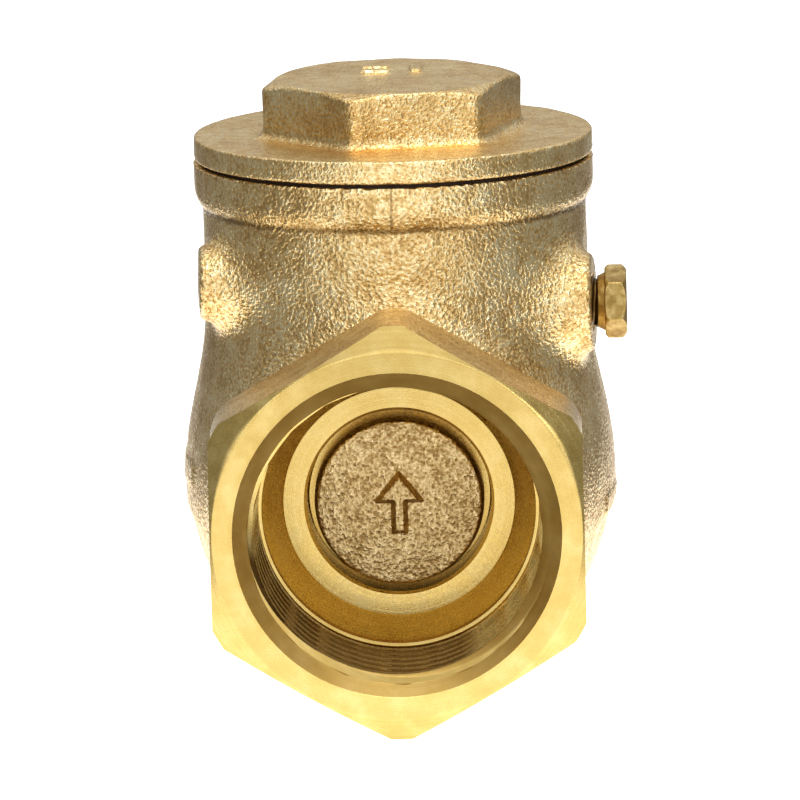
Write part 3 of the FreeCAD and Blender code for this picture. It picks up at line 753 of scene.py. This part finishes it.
place(make_casting(), "valve_body", "body", "cast_brass", CAST)
place(make_socket("inlet_socket", False), "valve_body", "body", "cast_brass", TURNED)
place(make_socket("outlet_socket", True), "valve_body", "body", "cast_brass", TURNED)
cap = field_piece("cap", cap_field, CAP_LOW - 0.9, np.array([*CAP_HIGH[:2], 49.0]), 0.3, cap_relief, 50)
place(cap, "valve_body", "bonnet_cap", "cast_brass", CAST_CAP)
plug = field_piece("plug", plug_field, PLUG_LOW - 0.4, PLUG_HIGH + 0.4, 0.085, plug_relief, 40)
place(plug, "valve_body", "hinge_pin_plug", "machined_brass", PLUG)
arm = field_piece("arm", arm_field, ARM_LOW - 0.8, ARM_HIGH + 0.8, 0.25, arm_relief, 50)
place(arm, "hanger", "hanger_arm", "cast_brass", CAST_ARM)
disc = place(make_disc(), "clapper", "clapper_disc", "cast_brass", CAST_DISC_SHADED, TURNED_DISC)
for polygon in disc.data.polygons:
    centre = polygon.center
    if centre.y > (DISC_LOW[1] + 4.2) * MM:
        polygon.material_index = 1

for node, material in (("bonnet_gasket", RUBBER), ("hinge_pin", STEEL), ("disc_washer", SMALL),
                       ("disc_nut", SMALL), ("nut_split_pin", STEEL)):
    frame["nodes"][node].data.materials.clear()
    frame["nodes"][node].data.materials.append(material)


# ---- studio ----

def make_floor():
    """Strip of white paper that fills the picture behind the valve, and no more."""
    near, far, low = -0.12, 0.75, BODY_LOW[2] * MM - 0.0004
    corners = [(-0.06, near, low), (0.06, near, low), (0.12, far, low), (-0.12, far, low)]
    floor = add_mesh("floor", np.array(corners) / MM, [[0, 1, 2, 3]])
    m = Recipe("studio_paper")
    grain = m.noise(1.2)
    colour = m.ramp(grain, ((0.3, (0.90, 0.90, 0.90)), (0.7, (0.93, 0.93, 0.93))))
    m.shader.inputs["Emission Color"].default_value = (1, 1, 1, 1)
    m.shader.inputs["Emission Strength"].default_value = 0.85
    roughness = m.ramp(grain, ((0.3, 0.85), (0.7, 0.95)))
    wear(floor, m.finish(colour, roughness, m.bump(grain, 0.05, 0.2), metallic=0.0))


def softbox(name, position, target, size, power):
    data = bpy.data.lights.new(name, "AREA")
    data.shape = "RECTANGLE"
    data.size, data.size_y = size
    data.energy = power
    light = bpy.data.objects.new(name, data)
    light.location = position
    aim = Vector(target) - Vector(position)
    light.rotation_euler = aim.to_track_quat("-Z", "Y").to_euler()
    bpy.context.scene.collection.objects.link(light)


def make_world():
    """Room light: a broad bright front and upper front, a dimmer top and table, dark sides and back."""
    world = bpy.data.worlds.new("studio")
    world.use_nodes = True
    tree = world.node_tree
    direction = tree.nodes.new("ShaderNodeTexCoord").outputs["Generated"]

    def glow(towards, stops):
        """Light round one direction: each stop is a cosine from it and the light's strength there."""
        facing = tree.nodes.new("ShaderNodeVectorMath")
        facing.operation = "DOT_PRODUCT"
        facing.inputs[1].default_value = Vector(towards).normalized()
        tree.links.new(direction, facing.inputs[0])
        ramp = tree.nodes.new("ShaderNodeValToRGB")
        ramp.color_ramp.interpolation = "EASE"
        for element, (position, value) in zip(ramp.color_ramp.elements, stops):
            element.position = position
            element.color = (value, value, value, 1)
        tree.links.new(facing.outputs["Value"], ramp.inputs[0])
        return ramp.outputs["Color"]

    front = glow((0.0, -1.0, 0.02), ((0.66, 0.25), (0.94, 0.93)))
    above = glow((0.1, 0.3, 1.0), ((0.30, 0.0), (0.90, 0.62)))
    below = glow((0.0, -0.45, -1.0), ((0.45, 0.0), (0.90, 0.75)))
    shoulder = glow((0.0, -0.66, 0.76), ((0.78, 0.0), (0.97, 0.60)))
    total = None
    for light in (front, above, below, shoulder):
        added = tree.nodes.new("ShaderNodeVectorMath")
        added.operation = "ADD"
        tree.links.new(light, added.inputs[0])
        if total:
            tree.links.new(total, added.inputs[1])
        total = added.outputs[0]
    background = tree.nodes["Background"]
    tree.links.new(total, background.inputs["Color"])
    background.inputs["Strength"].default_value = 1.0
    bpy.context.scene.world = world


def make_lights():
    centre = (0, MID_Y * MM, 0.008)
    softbox("top", (0.05, -0.10, 0.75), centre, (0.5, 0.4), 1.6)
    softbox("front_right", (0.45, -0.75, 0.35), centre, (0.10, 0.16), 0.65)
    softbox("front_left", (-0.35, -0.85, 0.30), centre, (0.10, 0.16), 0.35)


def make_camera():
    """Long lens, a little above the bore axis and a touch to the plug's side."""
    down, turn, roll = math.radians(10.3), math.radians(0.9), math.radians(1.4)
    ahead = Vector((-math.sin(turn) * math.cos(down), math.cos(turn) * math.cos(down), -math.sin(down)))
    right = Vector((math.cos(turn), math.sin(turn), 0))
    up = right.cross(ahead)
    data = bpy.data.cameras.new("camera")
    data.sensor_width = 36.0
    data.lens = 549.3
    data.clip_end = 50
    camera = bpy.data.objects.new("camera", data)
    distance, rise, aside = 1300 * MM, 14.47 * MM, 0.673 * MM
    eye = rise * up - distance * ahead + aside * right
    tilt = Matrix.Rotation(roll, 3, ahead)
    basis = Matrix((tilt @ right, tilt @ up, -(tilt @ ahead))).transposed()
    camera.matrix_world = Matrix.Translation(eye) @ basis.to_4x4()
    bpy.context.scene.collection.objects.link(camera)
    bpy.context.scene.camera = camera


make_floor()
make_world()
make_lights()
make_camera()
view = bpy.context.scene.view_settings
view.view_transform = "Standard"
